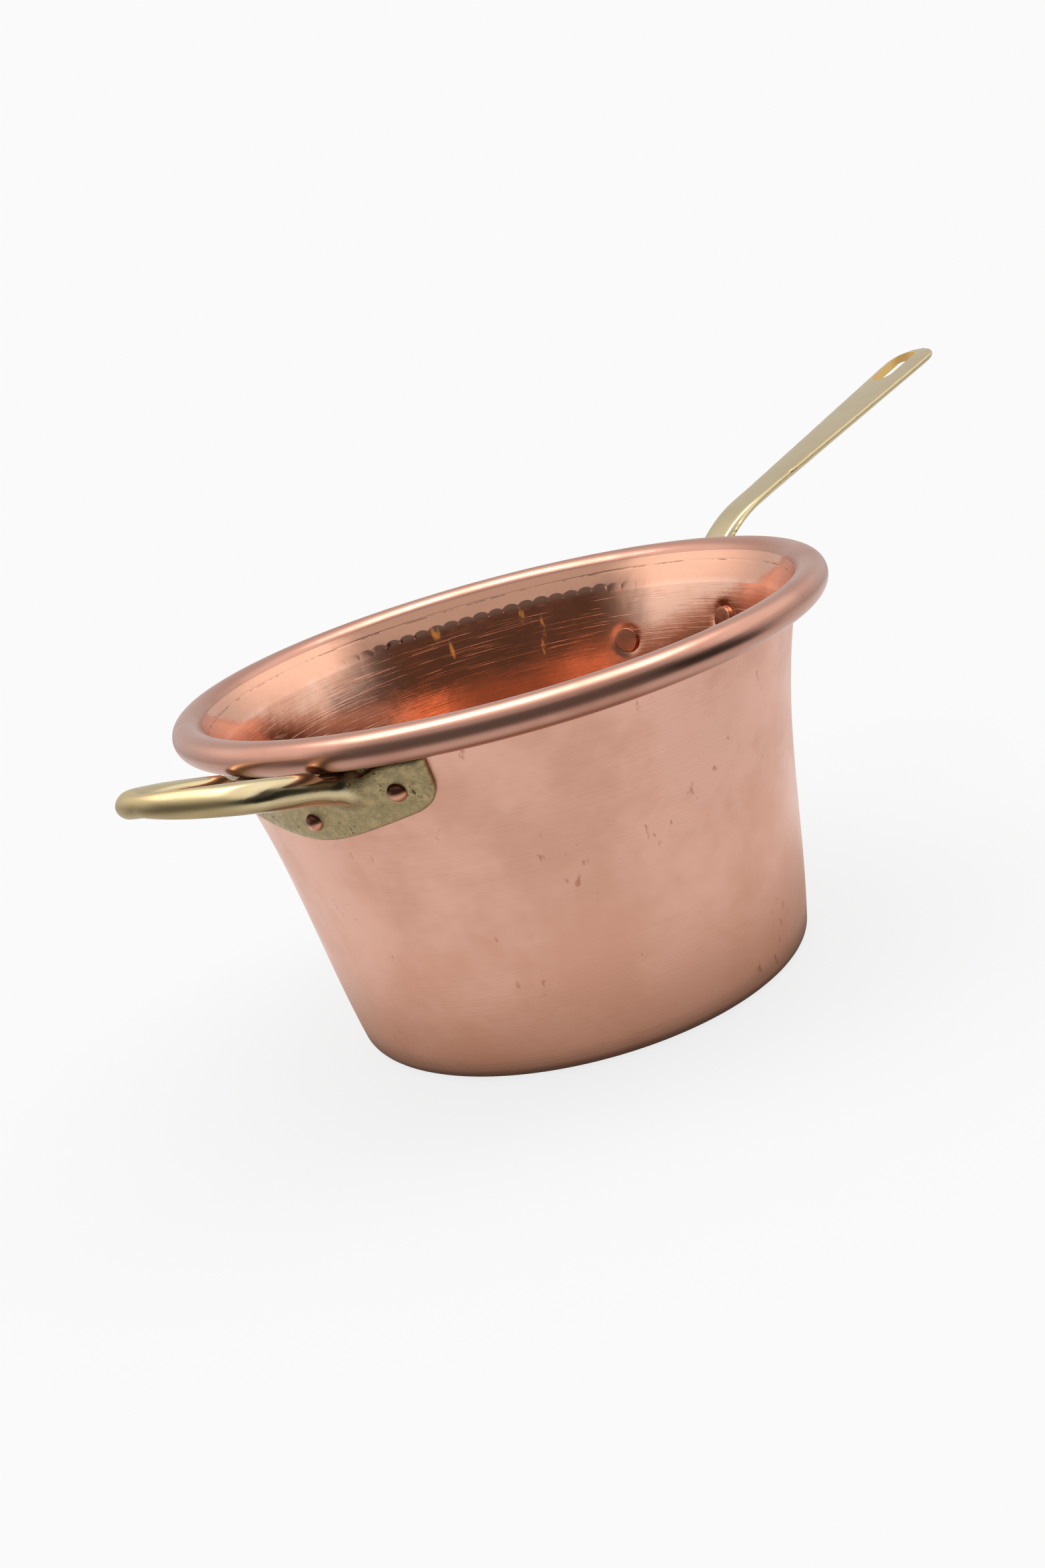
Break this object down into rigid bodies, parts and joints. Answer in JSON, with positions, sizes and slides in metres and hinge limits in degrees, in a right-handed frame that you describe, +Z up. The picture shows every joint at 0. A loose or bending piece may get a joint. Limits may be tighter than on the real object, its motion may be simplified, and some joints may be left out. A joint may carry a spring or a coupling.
{
  "type": "polenta pot",
  "caption": "Deep flaring copper pot with a flat base and a wired rolled rim, riveted to a long cast brass handle with a hanging eye and a cast brass helper bow.",
  "frame": {"origin": "centre of the flat base's underside, on the pot's axis", "axes": "+Z up along the pot's axis, +X from the axis towards the long handle"},
  "size_m": [0.5249, 0.2598, 0.1854],
  "materials": {
    "copper": "satin",
    "rivet_copper": "polished",
    "brass": "polished",
    "iron": "raw"
  },
  "bodies": {
    "root": {"pot_body": "copper", "rim_wire": "iron", "long_handle": "brass", "long_handle_rivet_left": "rivet_copper", "long_handle_rivet_right": "rivet_copper", "long_handle_rivet_lower": "rivet_copper", "helper_handle": "brass", "helper_handle_rivet_left": "rivet_copper", "helper_handle_rivet_right": "rivet_copper", "helper_handle_rivet_lower": "rivet_copper"}
  },
  "joints": []
}
